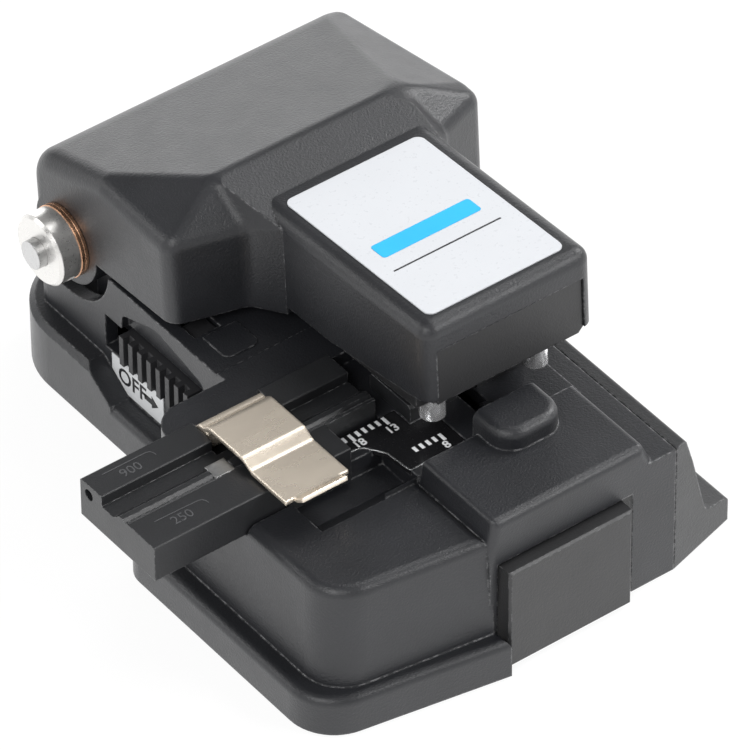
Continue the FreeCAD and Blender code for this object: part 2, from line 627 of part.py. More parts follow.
def blade_wheel():
    edge = 0.12
    half = BLADE_T / 2
    taper = 1.3
    profile = [(-half, BLADE_BORE + FIT), (half, BLADE_BORE + FIT), (half, BLADE_R - taper),
               (edge / 2, BLADE_R), (-edge / 2, BLADE_R), (-half, BLADE_R - taper)]
    ring = [Vector(x, BLADE_Y, BLADE_Z + r) for x, r in profile]
    face = Part.Face(Part.makePolygon(ring + ring[:1]))
    return face.revolve(Vector(0, BLADE_Y, BLADE_Z), Vector(1, 0, 0), 360)


def blade_screw():
    """Shouldered screw on which the blade wheel is clamped."""
    half = BLADE_T / 2
    head = rod_x(half + FIT, half + BLADE_SCREW_T, BLADE_Y, BLADE_Z, BLADE_SCREW_R)
    shoulder = rod_x(BRACKET_X1, half + FIT, BLADE_Y, BLADE_Z, BLADE_BORE)
    shank = rod_x(BRACKET_X0, BRACKET_X1, BLADE_Y, BLADE_Z, 1.2)
    slot = box(half + 0.8, half + 3, BLADE_Y - 3, BLADE_Y + 3, BLADE_Z - 0.35, BLADE_Z + 0.35)
    return head.fuse([shoulder, shank]).removeSplitter().cut(slot)


BRACKET_X1 = -BLADE_T / 2 - 0.4
RAIL_HOLES = [RAIL_Y0 + 5.0, RAIL_Y1 - 5.0]
HEIGHT_X = (ARM_X0 + BRACKET_X0) / 2
HEIGHT_Y = BLADE_Y
write("slide_rail", slide_rail())
write("rail_screws", Part.makeCompound(
    [screw(RAIL_X, y, PLATE_Z + RAIL_H, Vector(0, 0, -1), 1.5, 1.4, 0.8, RAIL_H - 1.4) for y in RAIL_HOLES]))
write("slider_carriage", slider_carriage())
write("slider_front", slider_front())
write("blade_wheel", blade_wheel())
write("blade_screw", blade_screw())
write("height_screw", screw(HEIGHT_X, HEIGHT_Y, SADDLE_TOP + 0.6 + 1.2, Vector(0, 0, -1), 1.8, 1.2, 1.0, 2.4))
SPRING_Z = SADDLE_TOP + 3.0
write("slider_spring", coil(RAIL_X - 2.0, SADDLE_Y0 + 1.0, SPRING_Z, BACK, BAY_BACK - SADDLE_Y0 - 1.3, 2.0, 0.3, 8))


# ================================================================ fibre adapter
def fibre_adapter():
    left = ADAPTER_LEFT
    front_top = FIBRE_Z - 0.1
    section = [(ADAPTER_FRONT, ADAPTER_SEAT, 0), (ADAPTER_BACK, ADAPTER_SEAT, 0), (ADAPTER_BACK, RAIL_TOP, 0.3),
               (RAIL_FRONT, RAIL_TOP, 0.2), (RAIL_FRONT, GROOVE_FLOOR, 0), (2.4, GROOVE_FLOOR, 0),
               (1.2, FIBRE_Z, 0), (GROOVE_W / 2, FIBRE_Z, 0), (0, FIBRE_Z - GROOVE_W / 2, 0),
               (-GROOVE_W / 2, FIBRE_Z, 0), (-GROOVE_W / 2 - 0.2, front_top, 0), (ADAPTER_FRONT, front_top, 0.2)]
    bar = slab_x(section, left, ADAPTER_RIGHT)
    side = box(ADAPTER_WIDE, ADAPTER_RIGHT + 1, ADAPTER_FRONT - 1, ADAPTER_NARROW, 0, RAIL_TOP + 1)
    knuckle_room = box(FLAP_LEFT - GAP, FLAP_RIGHT + GAP, RAIL_FRONT - 1, ADAPTER_BACK + 1,
                       FLAP_PIN_Z - KNUCKLE_R - GAP, RAIL_TOP + 1)
    pin_hole = rod_x(left - 1, ADAPTER_RIGHT + 1, FLAP_PIN_Y, FLAP_PIN_Z, FLAP_PIN_R + SEAT)
    pad_seat = box(MAGNET_X0, MAGNET_X1, -GROOVE_W / 2 - 0.1, 2.1, FIBRE_Z - 0.9, RAIL_TOP)
    screw_hole = peg_z(ADAPTER_SEAT - 1, RAIL_TOP, ADAPTER_SCREW_X, ADAPTER_SCREW_Y, 0.8 + SEAT)
    sink = rod_z(ADAPTER_SEAT + 2.4, RAIL_TOP + 1, ADAPTER_SCREW_X, ADAPTER_SCREW_Y, 1.5 + FIT)
    return bar.cut([side, knuckle_room, pin_hole, pad_seat, screw_hole, sink])


def adapter_flap():
    """Folded metal flap, drawn as one strip of constant thickness round the hinge pin."""
    y, z, t = FLAP_PIN_Y, FLAP_PIN_Z, FLAP_T
    top = RAIL_TOP + 1.3
    step = 1.0
    path = [(y, z + KNUCKLE_R, 0), (y - 1.6, top, 1.5), (-1.0, top, 1.0), (-2.8, top - step, 1.0),
            (FLAP_FRONT + 1.4, top - step, 1.0), (FLAP_FRONT, top - step + 1.0, 0)]
    below = [(v[0] - 0.2, v[1] - t, v[2]) for v in path]
    strip = slab_x(path[::-1] + below, FLAP_LEFT, FLAP_RIGHT)
    knuckle = rod_x(FLAP_LEFT, FLAP_RIGHT, y, z, KNUCKLE_R)
    web = box(FLAP_LEFT, FLAP_RIGHT, y - 1.4, y + 0.6, z, z + KNUCKLE_R + 0.6)
    bore = rod_x(FLAP_LEFT - 1, FLAP_RIGHT + 1, y, z, FLAP_PIN_R + FIT)
    corner = [box(x0, x0 + 2.4, FLAP_FRONT - 1, FLAP_FRONT + 1.6, z, top + 2)
              for x0 in (FLAP_LEFT - 1.0, FLAP_RIGHT - 1.4)]
    return strip.fuse([knuckle, web.common(rod_x(FLAP_LEFT, FLAP_RIGHT, y, z, KNUCKLE_R + 0.3))]).cut([bore] + corner)


def flap_pad():
    top = RAIL_TOP + 1.3 - FLAP_T
    pad = box(FLAP_LEFT + 1.2, FLAP_RIGHT - 1.2, -0.3, 3.6, FIBRE_Z + GAP, top)
    return pad.makeChamfer(0.25, [e for e in pad.Edges if e.BoundBox.ZMax < FIBRE_Z + GAP + 0.01])


write("fibre_adapter", fibre_adapter())
write("adapter_magnet", box(MAGNET_X0 + SEAT, MAGNET_X1 - SEAT, -GROOVE_W / 2, 2.08, FIBRE_Z - 0.9, FIBRE_Z - 0.1))
write("adapter_screw", screw(ADAPTER_SCREW_X, ADAPTER_SCREW_Y, ADAPTER_SEAT + 3.6, Vector(0, 0, -1),
                             1.5, 1.2, 0.8, 2.4 + 1.4))
write("flap_pin", rod_x(ADAPTER_LEFT + 1.5, ADAPTER_RIGHT - 1.5, FLAP_PIN_Y, FLAP_PIN_Z, FLAP_PIN_R))
write("adapter_flap", adapter_flap())
write("flap_pad", flap_pad())


# ================================================================ scale plate and lower clamp
def lower_clamp_blocks():
    def one(side):
        x0, x1 = sorted((side * CLAMP_X0, side * CLAMP_X1))
        block = box(x0, x1, -CLAMP_HALF_Y, CLAMP_HALF_Y, SHELF_Z, CLAMP_TOP)
        return block.makeChamfer(0.4, [e for e in block.Edges
                                       if e.BoundBox.ZMin > CLAMP_TOP - 0.01 and e.BoundBox.XLength > 1])
    return Part.makeCompound([one(-1), one(1)])


def pads(z0, z1):
    sides = [(-PAD_X1, -PAD_X0), (PAD_X0, PAD_X1)]
    return Part.makeCompound([box(x0, x1, -PAD_HALF_Y, PAD_HALF_Y, z0, z1) for x0, x1 in sides])


write("scale_plate", slab_z(scale_corners(0), POCKET_Z, SHELF_Z))
write("lower_clamp_blocks", lower_clamp_blocks())
write("lower_clamp_pads", pads(CLAMP_TOP, CLAMP_TOP + PAD_T))


# ================================================================ lock knob and switch label
def lock_knob():
    outer = -REAR_HALF + 0.2
    inner = -REAR_HALF + WALL + GAP
    plate = box(inner, inner + 1.2, KNOB_Y0 - 1.5, KNOB_Y1 + 1.5, KNOB_Z0 - 1.5, KNOB_Z1 + 1.5)
    core = box(outer, inner + 0.5, KNOB_Y0, KNOB_Y1, KNOB_Z0, KNOB_Z1)
    rib_w = 0.9
    pitch = (KNOB_Y1 - KNOB_Y0 - rib_w) / (RIB_COUNT - 1)
    ribs = [box(outer - 1.1, outer + 0.5, KNOB_Y0 + i * pitch, KNOB_Y0 + i * pitch + rib_w, KNOB_Z0, KNOB_Z1)
            for i in range(RIB_COUNT)]
    stem = box(inner, inner + 1.2, HOOK_Y0, HOOK_Y0 + HOOK_W, KNOB_Z1, HOOK_Z + 1.0)
    nose = box(inner, CATCH_X1, HOOK_Y0, HOOK_Y0 + HOOK_W, HOOK_Z, HOOK_Z + 1.0)
    return plate.fuse([core, stem, nose] + ribs).removeSplitter()


write("lock_knob", lock_knob())
write("switch_label", slab_x([(28.0, FOOT_Z + 0.4, 0), (SHOULDER - 3.7, FOOT_Z + 0.4, 0), (39.2, LIP_Z - 1.0, 0),
                              (39.2, KNOB_Z0 - GAP - 0.1, 0), (28.0, KNOB_Z0 - GAP - 0.1, 0)],
                             -REAR_HALF - 0.15, -REAR_HALF))


# ================================================================ hinge
def hinge_shaft():
    collar_end = HOOD_LEFT - WASHER_T - COLLAR_T - 1.3
    shaft = rod_x(collar_end, HOOD_RIGHT + GAP, HINGE_Y, HINGE_Z, SHAFT_R)
    head = rod_x(HOOD_RIGHT + GAP, HOOD_RIGHT + GAP + HEAD_T, HINGE_Y, HINGE_Z, SHAFT_R + 1.4)
    return shaft.fuse(head).removeSplitter()


def shaft_collar():
    x1 = HOOD_LEFT - WASHER_T
    body = rod_x(x1 - COLLAR_T, x1, HINGE_Y, HINGE_Z, COLLAR_R)
    body = body.makeChamfer(0.4, [e for e in body.Edges if e.BoundBox.XMax < x1 - COLLAR_T + 0.01])
    bore = rod_x(x1 - COLLAR_T - 1, x1 + 1, HINGE_Y, HINGE_Z, SHAFT_R + SEAT)
    tapped = Part.makeCylinder(0.9 + SEAT, COLLAR_R + 1, Vector(x1 - COLLAR_T / 2, HINGE_Y, HINGE_Z), SET_SCREW_AXIS)
    return body.cut([bore, tapped])


def collar_set_screw():
    x = HOOD_LEFT - WASHER_T - COLLAR_T / 2
    start = Vector(x, HINGE_Y, HINGE_Z) + SET_SCREW_AXIS * (SHAFT_R + SEAT)
    body = Part.makeCylinder(0.9, COLLAR_R - SHAFT_R - 0.8, start, SET_SCREW_AXIS)
    centre = Part.makeCylinder(SHAFT_R + SEAT, 4, Vector(x - 2, HINGE_Y, HINGE_Z), RIGHT)
    return body.cut(centre)


def spring_washer():
    """Two thin turns between the collar and the lid."""
    turn = WASHER_T / 2 - FIT
    x1 = HOOD_LEFT - FIT
    rings = []
    for i in range(2):
        end = x1 - i * (turn + FIT)
        ring = rod_x(end - turn, end, HINGE_Y, HINGE_Z, COLLAR_R + 0.1)
        rings.append(ring.cut(rod_x(end - turn - 1, end + 1, HINGE_Y, HINGE_Z, COLLAR_R - 0.9)))
    return Part.makeCompound(rings)


SET_SCREW_AXIS = Vector(0, -math.cos(math.radians(35)), -math.sin(math.radians(35)))
write("hinge_shaft", hinge_shaft())
write("shaft_collar", shaft_collar())
write("collar_set_screw", collar_set_screw())
write("spring_washer", spring_washer())


# ================================================================ lid
SLOPE = 0.25         # fall of the hood's rear facet
FRAME_X0 = ARM_LEFT + LID_T
FRAME_X1 = ARM_RIGHT - LID_T
FRAME_Y0 = ARM_FRONT + 0.3
FRAME_Y1 = 16.0
FRAME_Z0 = LID_PLATE_Z + LID_PLATE_T
FRAME_Z1 = ARM_SEAM_Z - 0.2
FRAME_WALL = 1.0
FRAME_ROOM_X1 = 11.4
FRAME_CEILING = FRAME_Z1 - 2.0
FRAME_SCREWS = [(0.0, -6.8), (-5.5, 12.0), (8.5, 12.0)]
LID_PLATE_SCREWS = [(11.0, -7.4), (11.0, 7.6), (-7.6, 7.6)]
LID_PLATE_FRONT = -8.8
LID_PLATE_BACK = 9.3
BLOCK_TOP = FRAME_Z0 + 3.0        # top of the upper clamp block
GUIDE_X = 5.5
GUIDE_R = 0.7
ANVIL_T = 1.6
ANVIL_HALF = 2.5
ANVIL_TIP = FIBRE_Z + GAP
ANVIL_TOP = BLOCK_TOP + FLOAT + 0.4 + 0.8


def hood(inset, bottom):
    """Faceted rear part of the lid; a positive inset gives the room inside it."""
    left = HOOD_LEFT + inset
    right = HOOD_RIGHT - inset
    wing = WING_Y + inset
    drop = inset * 1.15
    ridge = HOOD_RIDGE_Z - drop
    shoulder = ridge - HOOD_SHOULDER_DROP
    nose_l = ARM_LEFT + inset
    nose_r = ARM_RIGHT - inset
    side_y = HOOD_RIDGE_Y + HOOD_SIDE_Y
    side_z = ridge - SLOPE * HOOD_SIDE_Y
    back = HOOD_BACK - inset
    tops = {
        "wing_l": (left, wing, shoulder), "mid_l": (nose_l - MID_X, wing - MID_Y, shoulder),
        "nose_l": (nose_l, wing - NOSE_Y, shoulder + NOSE_RISE),
        "wing_r": (right, wing, shoulder), "mid_r": (nose_r + MID_X, wing - MID_Y, shoulder),
        "nose_r": (nose_r, wing - NOSE_Y, shoulder + NOSE_RISE),
        "side_l": (left, side_y, side_z), "side_r": (right, side_y, side_z),
        "back_l": (left, back, ridge - SLOPE * (back - HOOD_RIDGE_Y)),
        "back_r": (right, back, ridge - SLOPE * (back - HOOD_RIDGE_Y)),
    }
    points = {"low_" + name: (x, y, bottom) for name, (x, y, z) in tops.items()}
    points.update(tops)
    points["ridge_l"] = (-HOOD_RIDGE_HALF, HOOD_RIDGE_Y, ridge)
    points["ridge_r"] = (HOOD_RIDGE_HALF, HOOD_RIDGE_Y, ridge)
    faces = [["ridge_l", "ridge_r", "side_r", "back_r", "back_l", "side_l"],
             ["ridge_l", "nose_l", "nose_r", "ridge_r"],
             ["nose_l", "nose_r", "low_nose_r", "low_nose_l"],
             ["back_l", "back_r", "low_back_r", "low_back_l"],
             ["low_wing_l", "low_mid_l", "low_nose_l", "low_nose_r", "low_mid_r", "low_wing_r",
              "low_back_r", "low_back_l"]]
    for end in ("_l", "_r"):
        faces += [[name + end for name in ring] for ring in (
            ("wing", "side", "ridge"), ("wing", "ridge", "mid"), ("mid", "ridge", "nose"),
            ("wing", "mid", "low_mid", "low_wing"), ("mid", "nose", "low_nose", "low_mid"),
            ("wing", "low_wing", "low_back", "back", "side"))]
    return faceted(points, faces)


def arm(inset, front, bottom_front, bottom_back):
    """Long part of the lid over the clamp."""
    top = ARM_Z - inset
    corners = [(front, bottom_front, 0), (front, top, 2.0 - inset), (WING_Y + 4, top, 0),
               (WING_Y + 4, bottom_back, 0), (9.1, bottom_back, 0)]
    return slab_x(corners, ARM_LEFT + inset, ARM_RIGHT - inset)


def hood_edge(edge):
    """Upper and upright edges of the hood that the arm doesn't cover."""
    extent = edge.BoundBox
    on_nose = extent.YMin < WING_Y - NOSE_Y + 0.1
    return extent.ZMax > LID_BOTTOM + 1 and not on_nose


def back_edge(edge):
    extent = edge.BoundBox
    across = spans(edge, 0) > HOOD_RIGHT - HOOD_LEFT - 2 * LID_T - 1
    return extent.YMin > HOOD_BACK - LID_T - 0.1 and across and extent.ZMin > LID_BOTTOM + 1


def right_slope(inset):
    """Block above the slanted facet at the right of the hood."""
    corner = Vector(HOOD_RIDGE_HALF, HOOD_RIDGE_Y, HOOD_RIDGE_Z)
    shoulder = HOOD_RIDGE_Z - HOOD_SHOULDER_DROP
    middle = Vector(HOOD_RIGHT, HOOD_RIDGE_Y + HOOD_SIDE_Y, shoulder - SIDE_SLOPE_DROP)
    rear = Vector(HOOD_RIGHT, HOOD_BACK, shoulder - SIDE_SLOPE_BACK_DROP)
    up = (middle - corner).cross(rear - corner).normalize()
    disc = Part.Face(Part.Wire(Part.makeCircle(2 * HOOD_BACK, corner - up * inset, up)))
    return disc.extrude(up * HOOD_RIDGE_Z)


def lid_cover():
    hood_room = soften(hood(LID_T, LID_BOTTOM - 6), HOOD_BACK_R - LID_T, back_edge).cut(right_slope(LID_T))
    outer_hood = hood(0, LID_BOTTOM - 2.1)
    outer_hood = outer_hood.cut(box(-30, 30, 0, HINGE_Y, 0, LID_BOTTOM))
    outer_hood = soften(outer_hood, HOOD_BACK_R, back_edge).cut(right_slope(0))
    outer_hood = soften(outer_hood, 2.5, hood_edge)
    outer_arm = arm(0, ARM_FRONT, ARM_FOOT_FRONT_Z, ARM_FOOT_BACK_Z)
    outer_arm = soften(outer_arm, 2.0, lambda e: e.BoundBox.ZMin > ARM_Z - 2.1 and e.BoundBox.YMin > ARM_FRONT + 1.0
                       and e.BoundBox.YLength > 20)
    arm_room = arm(LID_T, ARM_FRONT + LID_T, LID_BOTTOM - 2, LID_BOTTOM - 2)
    front_gap = box(FRAME_X0, FRAME_X1, ARM_FRONT - 1, ARM_FRONT + LID_T + 1, 0, ARM_SEAM_Z)
    lobes = [rod_x(x0, x0 + LOBE_T, HINGE_Y, HINGE_Z, LOBE_R) for x0 in (HOOD_LEFT, HOOD_RIGHT - LOBE_T)]
    bores = [rod_x(x0 - 1, x0 + LOBE_T + 1, HINGE_Y, HINGE_Z, 3.0 + SEAT) for x0 in (HOOD_LEFT, HOOD_RIGHT - LOBE_T)]
    posts = [peg_z(FRAME_Z1, ARM_Z - 1, x, y, 1.8) for x, y in FRAME_SCREWS]
    holes = [peg_z(FRAME_Z1 - 1, ARM_Z - LID_T, x, y, 0.8 + SEAT) for x, y in FRAME_SCREWS]
    spring_post = rod_z(LID_BOTTOM + 2.0, HOOD_RIDGE_Z, LIFT_X, LIFT_Y, LIFT_R + 0.4).common(outer_hood)
    shell = outer_hood.fuse(outer_arm).removeSplitter()
    shell = shell.cut([hood_room, arm_room, front_gap])
    shell = shell.fuse(lobes + posts + [spring_post])
    return shell.cut(bores + holes)


write("lid_cover", raised(lid_cover()))


def lid_frame():
    corners = [(FRAME_X0, FRAME_Z0, 0), (FRAME_X1 - 1.3, FRAME_Z0, 0), (FRAME_X1, FRAME_Z0 + 1.3, 0),
               (FRAME_X1, FRAME_Z1, 0), (FRAME_X0, FRAME_Z1, 0)]
    frame = slab_y(corners, FRAME_Y0, FRAME_Y1)
    room = box(FRAME_X0 + FRAME_WALL, FRAME_ROOM_X1, FRAME_Y0 + 1.6, FRAME_Y1 - 1.5, FRAME_Z0 - 1, FRAME_CEILING)
    bosses = [rod_z(FRAME_Z0, FRAME_Z1, side * STOP_X, STOP_Y, STOP_R + 0.5) for side in (-1, 1)]
    bosses += [peg_z(FRAME_Z0, FRAME_Z1, x, y, 1.6) for x, y in LID_PLATE_SCREWS]
    holes = [peg_z(FRAME_Z0 - 1, FRAME_Z0 + 3.2, side * STOP_X, STOP_Y, 1.0 + SEAT) for side in (-1, 1)]
    holes += [peg_z(FRAME_Z0 - 1, FRAME_Z0 + 3.0, x, y, 0.6 + SEAT) for x, y in LID_PLATE_SCREWS]
    holes += [peg_z(FRAME_CEILING - 1, FRAME_Z1 + 1, x, y, 0.8 + SEAT) for x, y in FRAME_SCREWS]
    holes += [peg_z(FRAME_CEILING - 1, FRAME_Z1 + 1, side * GUIDE_X, 0, GUIDE_R + FIT) for side in (-1, 1)]
    lip = box(FRAME_X0 - 1, FRAME_X1 + 1, FRAME_Y0 - 1, FRAME_Y0 + 1.0, FRAME_Z0 - 1, FRAME_Z0 + 0.5)
    inside = [boss.common(frame) for boss in bosses]
    return frame.cut(room).fuse(inside).cut(holes + [lip]).removeSplitter()


def lid_screws():
    return Part.makeCompound([screw(x, y, FRAME_CEILING - 1.2, UP, 1.5, 1.2, 0.8, FRAME_Z1 - FRAME_CEILING + 2.0)
                              for x, y in FRAME_SCREWS])


def lid_bottom_plate():
    """Cover plate under the frame, with a wedge that fills up to the slanted wall of the lid."""
    low, high = LID_PLATE_Z, FRAME_Z0
    plate = box(FRAME_X0, FRAME_X1 - 1.5, LID_PLATE_FRONT, LID_PLATE_BACK, low, high)
    lean = (ARM_FOOT_FRONT_Z - ARM_FOOT_BACK_Z) / (9.1 - ARM_FRONT)
    under = [(y, ARM_FOOT_BACK_Z + (9.1 - y) * lean - 0.05, 0) for y in (LID_PLATE_FRONT, 6.6)]
    wedge = slab_x([(LID_PLATE_FRONT, low, 0), (6.6, low, 0)] + under[::-1], ARM_LEFT + 0.1, FRAME_X0)
    windows = [box(x0, x1, -PAD_HALF_Y - GAP, PAD_HALF_Y + GAP, low - 1, high + 1)
               for x0, x1 in ((-PAD_X1 - GAP, -PAD_X0 + GAP), (PAD_X0 - GAP, PAD_X1 + GAP))]
    windows.append(box(-ANVIL_T / 2 - GAP, ANVIL_T / 2 + GAP, -ANVIL_HALF - GAP, ANVIL_HALF + GAP, low - 1, high + 1))
    holes = [peg_z(low - 1, high + 1, side * STOP_X, STOP_Y, 1.0 + SEAT) for side in (-1, 1)]
    for x, y in LID_PLATE_SCREWS:
        holes.append(peg_z(low - 1, high + 1, x, y, 0.6 + SEAT))
        holes.append(peg_z(low - 1, low + 0.4, x, y, 1.1 + SEAT, 12))
    return plate.fuse(wedge).removeSplitter().cut(windows + holes)


def lid_plate_screws():
    return Part.makeCompound([screw(x, y, LID_PLATE_Z, UP, 1.1, 0.4, 0.6, 3.0) for x, y in LID_PLATE_SCREWS])


def stop_screws():
    def one(side):
        post = rod_z(SHELF_Z + 0.1, LID_PLATE_Z, side * STOP_X, STOP_Y, STOP_R)
        post = post.makeChamfer(0.3, [e for e in post.Edges if e.BoundBox.ZMax < SHELF_Z + 0.2])
        return post.fuse(peg_z(LID_PLATE_Z, FRAME_Z0 + 3.0, side * STOP_X, STOP_Y, 1.0)).removeSplitter()
    return Part.makeCompound([one(-1), one(1)])


def upper_clamp_block():
    half = FRAME_X0 + FRAME_WALL + 0.4
    block = box(half, -half, -CLAMP_HALF_Y, CLAMP_HALF_Y, FRAME_Z0, BLOCK_TOP)
    slot = box(-ANVIL_T / 2 - GAP, ANVIL_T / 2 + GAP, -ANVIL_HALF - GAP, ANVIL_HALF + GAP, 0, BLOCK_TOP + 1)
    guides = [peg_z(BLOCK_TOP - 1, FRAME_CEILING + 1.2, side * GUIDE_X, 0, GUIDE_R) for side in (-1, 1)]
    return block.cut(slot).fuse(guides).removeSplitter()


def anvil():
    """Blade-like anvil that bends the fibre over the scored point."""
    section = [(-ANVIL_T / 2, ANVIL_TIP + 0.8, 0), (-0.25, ANVIL_TIP, 0), (0.25, ANVIL_TIP, 0),
               (ANVIL_T / 2, ANVIL_TIP + 0.8, 0), (ANVIL_T / 2, ANVIL_TOP - 0.8, 0), (2.4, ANVIL_TOP - 0.8, 0),
               (2.4, ANVIL_TOP, 0), (-2.4, ANVIL_TOP, 0), (-2.4, ANVIL_TOP - 0.8, 0), (-ANVIL_T / 2, ANVIL_TOP - 0.8, 0)]
    return slab_y(section, -ANVIL_HALF, ANVIL_HALF)


def clamp_springs():
    length = FRAME_CEILING - BLOCK_TOP - 0.5
    return Part.makeCompound([coil(side * GUIDE_X, 0, BLOCK_TOP + 0.25, UP, length, 1.25, 0.2, 4) for side in (-1, 1)])


def lid_catch():
    """Steel bracket inside the lid wall; its toe hangs below the lock knob's hook."""
    wall = HOOD_LEFT + LID_T
    plate = box(wall, wall + 1.0, CATCH_Y - 3.0, CATCH_Y + 5.0, LID_BOTTOM + 0.8, LID_BOTTOM + 7.0)
    shelf = box(wall, CATCH_X1, CATCH_Y, CATCH_Y + 2.0, LID_BOTTOM + 0.8, LID_BOTTOM + 2.2)
    tab = box(CATCH_X0, CATCH_X1, CATCH_Y, CATCH_Y + 2.0, CATCH_Z, LID_BOTTOM + 2.2)
    toe = box(CATCH_X0, CATCH_X1, CATCH_Y - 2.5, CATCH_Y, CATCH_Z, CATCH_Z + 1.2)
    return plate.fuse([shelf, tab, toe]).removeSplitter()


def label_panel():
    corners = [(-9.3, -9.4, 1.2), (12.2, -9.4, 1.2), (12.2, 20.7, 1.2), (-9.3, 20.7, 1.2)]
    return slab_z(corners, ARM_Z, ARM_Z + 0.15)


def lid_bushes():
    bushes = []
    for x0 in (HOOD_LEFT, HOOD_RIGHT - LOBE_T):
        bush = rod_x(x0, x0 + LOBE_T, HINGE_Y, HINGE_Z, 3.0)
        bushes.append(bush.cut(rod_x(x0 - 1, x0 + LOBE_T + 1, HINGE_Y, HINGE_Z, SHAFT_R + FIT)))
    return Part.makeCompound(bushes)


write("lid_frame", raised(lid_frame()))
write("lid_screws", raised(lid_screws()))
write("lid_bottom_plate", raised(lid_bottom_plate()))
write("lid_plate_screws", raised(lid_plate_screws()))
write("stop_screws", raised(stop_screws()))
write("upper_clamp_block", raised(upper_clamp_block()))
write("upper_clamp_pads", raised(pads(FIBRE_Z + 0.1, FRAME_Z0)))
write("anvil", raised(anvil()))
write("clamp_springs", raised(clamp_springs()))
write("anvil_spring", raised(coil(0, 0, ANVIL_TOP + 0.25, UP, FRAME_CEILING - ANVIL_TOP - 0.5, 1.25, 0.2, 2)))
write("lid_catch", raised(lid_catch()))
write("label_panel", raised(label_panel()))
write("lid_bushes", lid_bushes())
write("lid_lift_spring", coil(LIFT_X, LIFT_Y, LIFT_Z + 0.35, UP, LID_BOTTOM + 2.4 - LIFT_Z - 0.35, LIFT_R - 0.3, 0.3, 7))
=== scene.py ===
"""Looks of the bench-top fibre cleaver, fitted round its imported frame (metres, row frame)."""
import json
import math
import bpy
import bmesh
from mathutils import Matrix, Vector

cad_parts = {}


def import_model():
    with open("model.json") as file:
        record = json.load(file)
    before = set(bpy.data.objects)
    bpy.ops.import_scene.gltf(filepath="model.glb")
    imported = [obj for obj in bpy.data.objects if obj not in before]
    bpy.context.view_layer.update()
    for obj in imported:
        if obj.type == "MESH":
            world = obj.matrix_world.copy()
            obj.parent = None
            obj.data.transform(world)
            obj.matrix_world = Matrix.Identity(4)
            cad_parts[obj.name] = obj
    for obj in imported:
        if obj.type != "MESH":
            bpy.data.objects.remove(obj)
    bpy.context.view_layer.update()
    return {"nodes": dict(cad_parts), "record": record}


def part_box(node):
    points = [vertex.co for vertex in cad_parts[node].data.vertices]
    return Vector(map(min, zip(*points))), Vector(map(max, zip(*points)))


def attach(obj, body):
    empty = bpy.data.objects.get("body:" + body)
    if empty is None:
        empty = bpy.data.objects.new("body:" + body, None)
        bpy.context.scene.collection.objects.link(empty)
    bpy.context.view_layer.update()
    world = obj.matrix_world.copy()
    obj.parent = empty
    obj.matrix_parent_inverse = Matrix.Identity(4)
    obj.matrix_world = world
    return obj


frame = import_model()
NODES = frame["nodes"]
MM = 0.001


# ---------------------------------------------------------------- materials
EDGE_GLINT_GREY = (0.22, 0.22, 0.225)        # painted highlight: grey mixed into the coat's colour on its rounded edges


def shade(tone, factor):
    """The colour, lighter or darker by that factor, and at most white."""
    return tuple(min(1.0, c * factor) for c in tone)


